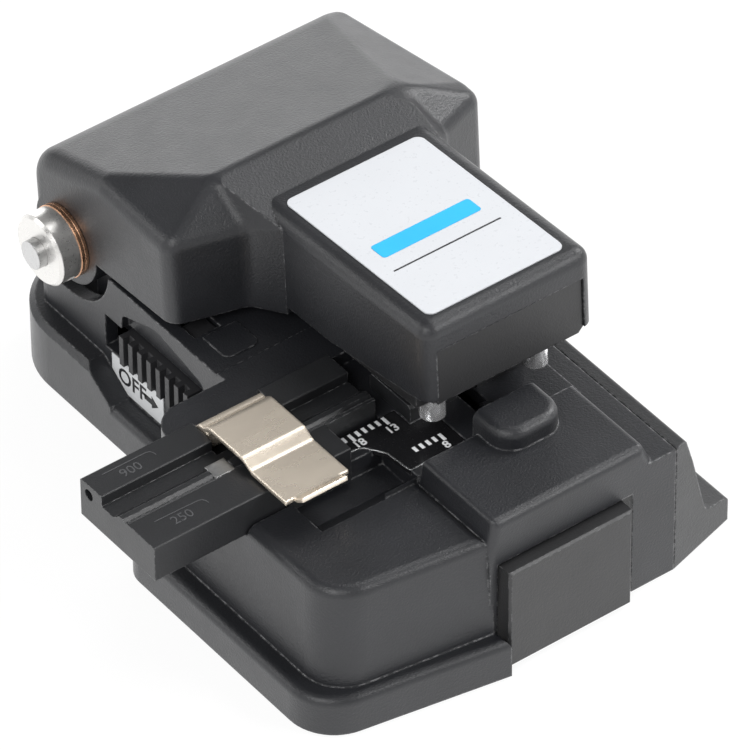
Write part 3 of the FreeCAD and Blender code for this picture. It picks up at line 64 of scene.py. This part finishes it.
class Shader:
    """A material with a Principled shader and a few shorthands for procedural nodes."""

    def __init__(self, name):
        self.mat = bpy.data.materials.new(name)
        self.mat.use_nodes = True
        self.tree = self.mat.node_tree
        self.bsdf = self.tree.nodes["Principled BSDF"]
        self.coords = self.tree.nodes.new("ShaderNodeTexCoord")

    def node(self, kind, **settings):
        node = self.tree.nodes.new(kind)
        for key, value in settings.items():
            setattr(node, key, value)
        return node

    def link(self, out, into):
        self.tree.links.new(out, into)

    def noise(self, scale, detail=2.0, rough=0.5, stretch=(1, 1, 1)):
        mapping = self.node("ShaderNodeMapping")
        mapping.inputs["Scale"].default_value = stretch
        self.link(self.coords.outputs["Object"], mapping.inputs["Vector"])
        noise = self.node("ShaderNodeTexNoise")
        noise.inputs["Scale"].default_value = scale
        noise.inputs["Detail"].default_value = detail
        noise.inputs["Roughness"].default_value = rough
        self.link(mapping.outputs["Vector"], noise.inputs["Vector"])
        return noise.outputs["Fac"]

    def ramp(self, value, stops):
        ramp = self.node("ShaderNodeValToRGB")
        while len(ramp.color_ramp.elements) < len(stops):
            ramp.color_ramp.elements.new(0.5)
        for element, (place, colour) in zip(ramp.color_ramp.elements, stops):
            element.position = place
            element.color = (*colour, 1.0)
        self.link(value, ramp.inputs["Fac"])
        return ramp.outputs["Color"]

    def spread(self, value, low, high, start=0.3, end=0.7):
        """Map start..end of value onto low..high."""
        span = self.node("ShaderNodeMapRange")
        span.inputs["From Min"].default_value = start
        span.inputs["From Max"].default_value = end
        span.inputs["To Min"].default_value = low
        span.inputs["To Max"].default_value = high
        self.link(value, span.inputs["Value"])
        return span.outputs["Result"]

    def scaled(self, value, factor, offset):
        """value * factor + offset"""
        add = self.node("ShaderNodeMath", operation="MULTIPLY_ADD")
        add.inputs[1].default_value = factor
        add.inputs[2].default_value = offset
        self.link(value, add.inputs[0])
        return add.outputs[0]

    def colour(self, value, low, high, start=0.3, end=0.7):
        self.link(self.ramp(value, [(start, low), (end, high)]), self.bsdf.inputs["Base Color"])

    def rough(self, value, low, high):
        self.link(self.spread(value, low, high), self.bsdf.inputs["Roughness"])

    def relief(self, value, depth, edge):
        """Bump of that depth in metres, over edges rounded by edge metres."""
        bump = self.node("ShaderNodeBump")
        bump.inputs["Distance"].default_value = depth
        self.link(value, bump.inputs["Height"])
        self.bevel = self.node("ShaderNodeBevel", samples=4)
        self.bevel.inputs["Radius"].default_value = edge
        self.link(self.bevel.outputs["Normal"], bump.inputs["Normal"])
        self.link(bump.outputs["Normal"], self.bsdf.inputs["Normal"])

    def paint_edge_glints(self):
        """Painted highlight: light grey specks mixed into the colour on the edges that relief()
        rounds.
        """
        geometry = self.node("ShaderNodeNewGeometry")
        dot = self.node("ShaderNodeVectorMath", operation="DOT_PRODUCT")
        self.link(self.bevel.outputs["Normal"], dot.inputs[0])
        self.link(geometry.outputs["Normal"], dot.inputs[1])
        turned = self.spread(dot.outputs["Value"], 1.0, 0.0, 0.86, 0.97)
        specks = self.spread(self.noise(1500, 3, 0.6), 0.0, 1.0, 0.46, 0.62)
        both = self.node("ShaderNodeMath", operation="MULTIPLY")
        self.link(turned, both.inputs[0])
        self.link(specks, both.inputs[1])
        source = self.bsdf.inputs["Base Color"].links[0].from_socket
        mix = self.node("ShaderNodeMixRGB")
        mix.inputs["Color2"].default_value = (*EDGE_GLINT_GREY, 1)
        self.link(both.outputs[0], mix.inputs["Fac"])
        self.link(source, mix.inputs["Color1"])
        self.link(mix.outputs["Color"], self.bsdf.inputs["Base Color"])

    def set(self, **values):
        for key, value in values.items():
            self.bsdf.inputs[key.replace("_", " ")].default_value = value


def coated(name, tone, rough, grain=0.00006, edge=0.0004):
    """Satin powder coat: fine grain, slightly uneven gloss, painted highlight specks on the edges.
    """
    s = Shader(name)
    s.colour(s.noise(90, 3), shade(tone, 0.85), shade(tone, 1.15))
    s.rough(s.noise(260, 4, 0.6), rough - 0.02, rough + 0.03)
    s.relief(s.noise(3200, 3, 0.6), grain, edge)
    # painted highlight: light grey specks on the coat's rounded edges
    s.paint_edge_glints()
    return s.mat


def metal(name, tone, rough, grain=0.00001, stretch=(1, 1, 1), scale=2500, edge=0.0002,
          metallic=1.0, patchy=0.86):
    """Bare metal; stretch draws its grain out, patchy is its darkest share of the tone."""
    s = Shader(name)
    s.set(Metallic=metallic)
    fine = s.noise(scale, 4, 0.6, stretch)
    s.colour(fine, shade(tone, patchy), tone)
    s.rough(fine, rough - 0.05, rough + 0.08)
    s.relief(fine, grain, edge)
    return s.mat


def plain(name, tone, rough, grain=0.00002, spread=0.12):
    """Plastic, rubber, paper or print, whose tone wanders by the share spread."""
    s = Shader(name)
    fine = s.noise(1800, 3)
    s.colour(s.noise(120, 3), shade(tone, 1 - spread), shade(tone, 1 + spread))
    s.rough(fine, rough - 0.04, rough + 0.06)
    s.relief(fine, grain, 0.0002)
    return s.mat


COAT = (0.0145, 0.0152, 0.0178)
MATERIALS = {
    "base_casting": coated("base_coat", COAT, 0.38),
    "cover_casting": coated("cover_coat", (0.016, 0.0165, 0.018), 0.4),
    "lid_casting": coated("lid_coat", COAT, 0.38),
    "slider_alloy": coated("slider_coat", (0.018, 0.018, 0.019), 0.4, 0.00004, 0.0002),
    "adapter_alloy": coated("adapter_coat", (0.013, 0.0135, 0.015), 0.4, 0.00003, 0.0002),
    "clamp_alloy": coated("clamp_coat", (0.014, 0.0145, 0.016), 0.42, 0.00003, 0.0002),
    "frame_alloy": coated("frame_coat", (0.012, 0.012, 0.013), 0.4, 0.00003, 0.0003),
    "plate_steel": coated("plate_coat", (0.02, 0.02, 0.022), 0.5, 0.00004, 0.0002),
    "mat_rubber": plain("mat_rubber", (0.012, 0.012, 0.012), 0.75),
    "pad_rubber": plain("pad_rubber", (0.014, 0.014, 0.015), 0.7),
    "fastener_steel": metal("fastener_steel", (0.52, 0.52, 0.52), 0.3),
    "rail_steel": metal("rail_steel", (0.55, 0.56, 0.57), 0.25, stretch=(1, 0.05, 1)),
    "blade_carbide": metal("blade_carbide", (0.62, 0.63, 0.65), 0.18),
    "spring_steel": metal("spring_steel", (0.6, 0.6, 0.62), 0.22),
    "scale_black": plain("scale_black", (0.01, 0.01, 0.011), 0.22, grain=0.000005),
    "magnet_grey": metal("magnet_grey", (0.4, 0.4, 0.4), 0.36),
    "flap_nickel": metal("flap_nickel", (0.9, 0.8, 0.67), 0.26, grain=0.000002, stretch=(0.4, 1, 1),
                         scale=300, edge=0.0004, metallic=0.75, patchy=0.97),
    "knob_plastic": plain("knob_plastic", (0.02, 0.02, 0.022), 0.5),
    "label_dark": plain("switch_paper", (0.62, 0.63, 0.64), 0.4, grain=0.000004, spread=0.02),
    "label_white": plain("label_white", (0.585, 0.6, 0.625), 0.3, grain=0.0, spread=0.01),
    "collar_steel": metal("collar_steel", (0.68, 0.67, 0.65), 0.3, grain=0.000003, metallic=0.85,
                          patchy=0.95),
    "washer_copper": metal("washer_copper", (0.78, 0.45, 0.28), 0.22),
    "bush_bronze": metal("bush_bronze", (0.55, 0.4, 0.22), 0.3),
    "stop_chrome": metal("stop_chrome", (0.93, 0.93, 0.94), 0.16, metallic=0.8, patchy=0.97),
}

for part in frame["record"]["subparts"]:
    obj = NODES[part["node"]]
    obj.data.materials.clear()
    obj.data.materials.append(MATERIALS[part["material_slot"]])


# ---------------------------------------------------------------- pieces made here
HINGE = Vector((0, 48.5, 24.6)) * MM
LID_TURN = (Matrix.Translation(HINGE) @ Matrix.Rotation(math.radians(-3.15), 4, "X")
            @ Matrix.Translation(-HINGE))     # the lid at rest, against the lid closed
PRINT_T = 0.03          # all sizes of pieces in millimetres
LABEL_TOP = 39.65       # of the white panel, lid closed
REAR_TOP = 23.6         # of the base under the hood
BLOCK_DROP = 0.6        # of the adapter's front half below its rail
SWITCH_FACE = -24.15    # of the switch label on the left wall
LINE_W = 0.14           # of the lines round the adapter's numbers
PRINT = {
    "white": plain("print_white", (0.86, 0.87, 0.88), 0.4, grain=0.000004, spread=0.03),
    "black": plain("print_black", (0.012, 0.012, 0.014), 0.45, grain=0.000004, spread=0.03),
    "cyan": plain("print_cyan", (0.02, 0.42, 0.78), 0.35, grain=0.000004, spread=0.03),
    "engraved": plain("print_engraved", (0.075, 0.076, 0.08), 0.4, grain=0.00001),
    # painted highlight: the metal of the band along the scale plate's edge
    "bright": metal("plate_edge_glint", (0.78, 0.79, 0.8), 0.22),
}


def piece(name, mesh, body, material, place=None):
    """Put a mesh in millimetres into the scene; place is a matrix in metres."""
    mesh.transform(Matrix.Scale(MM, 4))
    if place is not None:
        mesh.transform(place)
    mesh.name = name
    obj = bpy.data.objects.new(name, mesh)
    bpy.context.scene.collection.objects.link(obj)
    mesh.materials.clear()
    mesh.materials.append(material)
    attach(obj, body)
    return obj


def rounded(corners, steps=6):
    """Outline through (x, y, radius) corners, with arcs."""
    points = []
    count = len(corners)
    for i, (x, y, radius) in enumerate(corners):
        here = Vector((x, y))
        back = (Vector(corners[i - 1][:2]) - here).normalized()
        ahead = (Vector(corners[(i + 1) % count][:2]) - here).normalized()
        if radius <= 0:
            points.append(here)
            continue
        half = back.angle(ahead) / 2
        reach = radius / math.tan(half)
        centre = here + (back + ahead).normalized() * (radius / math.sin(half))
        start = here + back * reach - centre
        sweep = start.angle_signed(here + ahead * reach - centre)
        for k in range(steps + 1):
            a = -sweep * k / steps
            points.append(centre + Vector((start.x * math.cos(a) - start.y * math.sin(a),
                                           start.x * math.sin(a) + start.y * math.cos(a))))
    return points


def slab(outlines, z0, z1, soft=0.0):
    """Flat plates between z0 and z1 with those (x, y) outlines; soft rounds the top edges."""
    bm = bmesh.new()
    for points in outlines:
        ring = [bm.verts.new((p[0], p[1], z0)) for p in points]
        after = list(points[1:]) + [points[0]]
        area = sum(a[0] * b[1] - b[0] * a[1] for a, b in zip(points, after))
        face = bm.faces.new(ring if area > 0 else ring[::-1])
        made = bmesh.ops.extrude_face_region(bm, geom=[face])
        up = [v for v in made["geom"] if isinstance(v, bmesh.types.BMVert)]
        bmesh.ops.translate(bm, vec=(0, 0, z1 - z0), verts=up)
        face.normal_flip()
    if soft > 0:
        edges = [e for e in bm.edges if all(abs(v.co.z - z1) < 1e-6 for v in e.verts)]
        bmesh.ops.bevel(bm, geom=edges, offset=soft, segments=2, affect="EDGES", profile=0.5)
    bmesh.ops.recalc_face_normals(bm, faces=bm.faces)
    mesh = bpy.data.meshes.new("slab")
    bm.to_mesh(mesh)
    bm.free()
    return mesh


def strip(points, width):
    """Outline of a line of that width along open points."""
    left, right = [], []
    for i, p in enumerate(points):
        a = points[max(i - 1, 0)]
        b = points[min(i + 1, len(points) - 1)]
        along = (Vector(b) - Vector(a)).normalized()
        side = Vector((-along.y, along.x)) * width / 2
        left.append(Vector(p) + side)
        right.append(Vector(p) - side)
    return left + right[::-1]


def bar(x0, x1, y0, y1):
    """Outline of a rectangle."""
    return [(x0, y0), (x1, y0), (x1, y1), (x0, y1)]


def lettering(text, height, x, y, z, bold=0.0):
    """Mesh of plain characters, centred on (x, y), standing on z, thickened by bold."""
    data = bpy.data.curves.new("letters", "FONT")
    data.body = text
    data.size = height * 1.4
    data.extrude = PRINT_T / 2
    data.offset = bold
    data.align_x = "CENTER"
    data.align_y = "CENTER"
    data.resolution_u = 3
    obj = bpy.data.objects.new("letters", data)
    bpy.context.scene.collection.objects.link(obj)
    bpy.context.view_layer.update()
    depsgraph = bpy.context.evaluated_depsgraph_get()
    mesh = bpy.data.meshes.new_from_object(obj.evaluated_get(depsgraph))
    bpy.data.objects.remove(obj)
    bpy.data.curves.remove(data)
    mesh.transform(Matrix.Translation((x, y, z + PRINT_T / 2)))
    return mesh


def joined(meshes):
    """One mesh of several, which are used up."""
    bm = bmesh.new()
    for mesh in meshes:
        bm.from_mesh(mesh)
        bpy.data.meshes.remove(mesh)
    mesh = bpy.data.meshes.new("joined")
    bm.to_mesh(mesh)
    bm.free()
    return mesh


def top_of(node):
    """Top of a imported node, in millimetres."""
    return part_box(node)[1][2] / MM


def lid_print():
    """Plain band and rule on the lid's white panel."""
    z = LABEL_TOP
    corners = [(-6.6, 3.3, 0.5), (8.9, 3.3, 0.5), (8.9, 6.3, 0.5), (-6.6, 6.3, 0.5)]
    band = slab([rounded(corners)], z, z + PRINT_T)
    rule = slab([bar(-7.2, 9.6, 0.35, 0.6)], z, z + PRINT_T)
    piece("lid_label_band", band, "lid", PRINT["cyan"], LID_TURN)
    piece("lid_label_rule", rule, "lid", PRINT["black"], LID_TURN)


def ticks(count, x, pitch, y, length, long_length, long_ones):
    """Outlines of a row of ticks that runs to the left and hangs from y."""
    half = 0.24
    return [bar(x - k * pitch - half, x - k * pitch + half,
                y - (long_length if k in long_ones else length), y) for k in range(count)]


def scale_print():
    """Ticks and plain numbers of the scale plate, and a painted highlight: a bright metal band
    along the plate's edge.
    """
    z = top_of("scale_plate")
    rows = (ticks(8, -11.3, 1.06, -1.35, 1.05, 1.5, (0, 5))
            + ticks(5, -7.5, 1.02, -8.1, 1.0, 1.4, (0,)))
    marks = slab(rows, z, z + PRINT_T)
    numbers = [lettering(text, 1.3, x, y, z, bold=0.045)
               for text, x, y in (("13", -11.5, -3.8), ("18", -16.4, -3.5), ("8", -7.9, -10.3))]
    piece("scale_marks", joined([marks] + numbers), "base", PRINT["white"])
    edge = rounded([(-19.0, -1.4, 0), (-19.0, -3.9, 1.0), (-16.6, -4.2, 1.5), (-14.8, -7.0, 1.5),
                    (-14.4, -11.3, 0.3), (-5.7, -11.3, 0)], 5)
    # painted highlight: a thin bright metal band on the plate's top, along its edge
    glint_band = slab([strip(edge, 0.3)], z, z + 0.07, 0.03)
    piece("scale_edge_glint", glint_band, "base", PRINT["bright"])


def adapter_print():
    """Numbers on the adapter's two halves, each with a line round a corner."""
    z = top_of("fibre_adapter")
    low = z - BLOCK_DROP
    rail = strip([(-47.6, 8.2), (-40.9, 8.2), (-40.45, 8.05), (-40.15, 7.6), (-40.1, 7.1)], LINE_W)
    block = strip([(-47.2, -2.2), (-40.6, -2.35), (-40.15, -2.5), (-39.85, -2.95), (-39.8, -3.45)],
                  LINE_W)
    meshes = [slab([rail], z, z + PRINT_T), slab([block], low, low + PRINT_T),
              lettering("900", 1.5, -44.2, 6.75, z), lettering("250", 1.5, -43.9, -3.6, low)]
    piece("adapter_marks", joined(meshes), "base", PRINT["engraved"])


def switch_print():
    """OFF and an arrow on the white label beside the lock knob."""
    word = lettering("OFF", 2.5, 0, 0, 0, bold=0.05)
    outline = [(2.6, -0.45), (4.2, -0.45), (4.2, -1.0), (5.6, 0), (4.2, 1.0), (4.2, 0.45),
               (2.6, 0.45)]
    arrow = slab([outline], 0, PRINT_T)
    side = Matrix(((0, 0, -1, SWITCH_FACE * MM), (-1, 0, 0, 34.75 * MM), (0, 1, 0, 9.1 * MM),
                   (0, 0, 0, 1)))
    piece("switch_print", joined([word, arrow]), "base", PRINT["black"], side)


def deck_tab():
    """Thin rounded plate let into the deck in front of the hood."""
    z = REAR_TOP
    corners = [(-21.3, 23.2, 0.3), (-21.3, 17.9, 1.2), (-15.8, 17.9, 1.2), (-15.8, 23.2, 0.3)]
    tab = slab([rounded(corners)], z, z + 0.14, 0.05)
    piece("deck_tab", tab, "base", MATERIALS["base_casting"])


def lid_stud():
    """Small chrome screw under the left edge of the lid's frame."""
    rings = [(0.75, 1.9), (0.95, 1.7), (0.95, 0.9), (0.6, 0.75), (0.6, 0.0)]     # radius, depth
    steps = 20
    turns = [2 * math.pi * k / steps for k in range(steps)]
    verts = [(r * math.cos(a), r * math.sin(a), -depth) for r, depth in rings for a in turns]
    faces = [tuple(range(steps))[::-1]]
    for ring in range(len(rings) - 1):
        for k in range(steps):
            a, b = ring * steps + k, ring * steps + (k + 1) % steps
            faces.append((a, b, b + steps, a + steps))
    faces.append(tuple(range(len(verts) - steps, len(verts))))
    mesh = bpy.data.meshes.new("stud")
    mesh.from_pydata(verts, [], faces)
    mesh.transform(Matrix.Translation((-8.9, 8.9, 28.35)))
    piece("lid_stud", mesh, "lid", MATERIALS["stop_chrome"])


lid_print()
deck_tab()
lid_stud()
scale_print()
adapter_print()
switch_print()


# ---------------------------------------------------------------- camera, floor and lights
def aim(obj, target):
    obj.rotation_euler = (Vector(target) - obj.location).to_track_quat("-Z", "Y").to_euler()


VIEW_PITCH = 41.52
VIEW_YAW = 36.92
VIEW_ROLL = -0.467
VIEW_DISTANCE = 1.0546
VIEW_TARGET = Vector((-11.714, -0.524, 28.823)) * MM
camera_data = bpy.data.cameras.new("camera")
camera_data.lens = 405.0
camera_data.sensor_width = 36.0
camera_data.clip_end = 20.0
camera = bpy.data.objects.new("camera", camera_data)
bpy.context.scene.collection.objects.link(camera)
turn = (Matrix.Rotation(math.radians(-VIEW_YAW), 3, "Z")
        @ Matrix.Rotation(math.radians(90 - VIEW_PITCH), 3, "X")
        @ Matrix.Rotation(math.radians(VIEW_ROLL), 3, "Z"))
camera.location = VIEW_TARGET + turn @ Vector((0, 0, VIEW_DISTANCE))
camera.rotation_euler = turn.to_euler()
bpy.context.scene.camera = camera


def floor():
    """White paper that keeps the tool's shadow; the camera and shiny pieces see it white."""
    mesh = bpy.data.meshes.new("floor")
    half = 3.0
    corners = [(x, y, 0) for x, y in bar(-half, half, -half, half)]
    mesh.from_pydata(corners, [], [(0, 1, 2, 3)])
    obj = bpy.data.objects.new("floor", mesh)
    bpy.context.scene.collection.objects.link(obj)
    s = Shader("floor_paper")
    s.set(Base_Color=(0.82, 0.82, 0.82, 1), Roughness=0.8)
    output = s.tree.nodes["Material Output"]
    glow = s.node("ShaderNodeEmission")
    path = s.node("ShaderNodeLightPath")
    s.link(s.scaled(path.outputs["Is Glossy Ray"], 0.5, 1.05), glow.inputs["Strength"])
    seen = s.node("ShaderNodeMath", operation="MAXIMUM")
    s.link(path.outputs["Is Camera Ray"], seen.inputs[0])
    s.link(path.outputs["Is Glossy Ray"], seen.inputs[1])
    share = s.node("ShaderNodeMath", operation="MULTIPLY")
    share.inputs[1].default_value = 0.86
    s.link(seen.outputs[0], share.inputs[0])
    mix = s.node("ShaderNodeMixShader")
    s.link(share.outputs[0], mix.inputs[0])
    s.link(s.bsdf.outputs[0], mix.inputs[1])
    s.link(glow.outputs[0], mix.inputs[2])
    s.link(mix.outputs[0], output.inputs["Surface"])
    obj.data.materials.append(s.mat)


def world():
    """Bright low down, darker overhead; the camera sees plain white."""
    w = bpy.data.worlds.new("studio")
    bpy.context.scene.world = w
    w.use_nodes = True
    tree = w.node_tree
    background = tree.nodes["Background"]
    coords = tree.nodes.new("ShaderNodeTexCoord")
    split = tree.nodes.new("ShaderNodeSeparateXYZ")
    tree.links.new(coords.outputs["Generated"], split.inputs[0])
    ramp = tree.nodes.new("ShaderNodeValToRGB")
    stops = [(0.0, 0.9), (0.3, 0.65), (0.6, 0.2), (1.0, 0.4)]
    while len(ramp.color_ramp.elements) < len(stops):
        ramp.color_ramp.elements.new(0.5)
    for element, (place, value) in zip(ramp.color_ramp.elements, stops):
        element.position = place
        element.color = (value, value, value, 1)
    tree.links.new(split.outputs["Z"], ramp.inputs["Fac"])
    path = tree.nodes.new("ShaderNodeLightPath")
    mix = tree.nodes.new("ShaderNodeMixRGB")
    mix.inputs["Color2"].default_value = (1, 1, 1, 1)
    tree.links.new(path.outputs["Is Camera Ray"], mix.inputs["Fac"])
    tree.links.new(ramp.outputs["Color"], mix.inputs["Color1"])
    tree.links.new(mix.outputs["Color"], background.inputs["Color"])


def lamp(name, place, size, watts):
    """Soft box of that size in metres, turned to the tool."""
    data = bpy.data.lights.new(name, "AREA")
    data.shape = "RECTANGLE"
    data.size, data.size_y = size
    data.energy = watts
    obj = bpy.data.objects.new(name, data)
    obj.location = place
    bpy.context.scene.collection.objects.link(obj)
    aim(obj, (0, 0.015, 0.02))


floor()
world()
lamp("key_lamp", (-0.75, -0.35, 0.75), (0.7, 0.5), 6.0)
lamp("front_lamp", (0.5, -0.72, 0.65), (0.32, 0.32), 5.0)
lamp("back_lamp", (0.48, 0.98, 0.2), (0.9, 0.3), 2.6)
lamp("right_lamp", (0.96, -0.01, 0.72), (0.45, 0.45), 9.0)
lamp("top_lamp", (0.52, 0.12, 1.02), (0.5, 0.4), 2.2)
lamp("left_lamp", (-0.78, 0.72, 0.5), (0.45, 0.4), 2.2)

bpy.context.scene.view_settings.view_transform = "Standard"
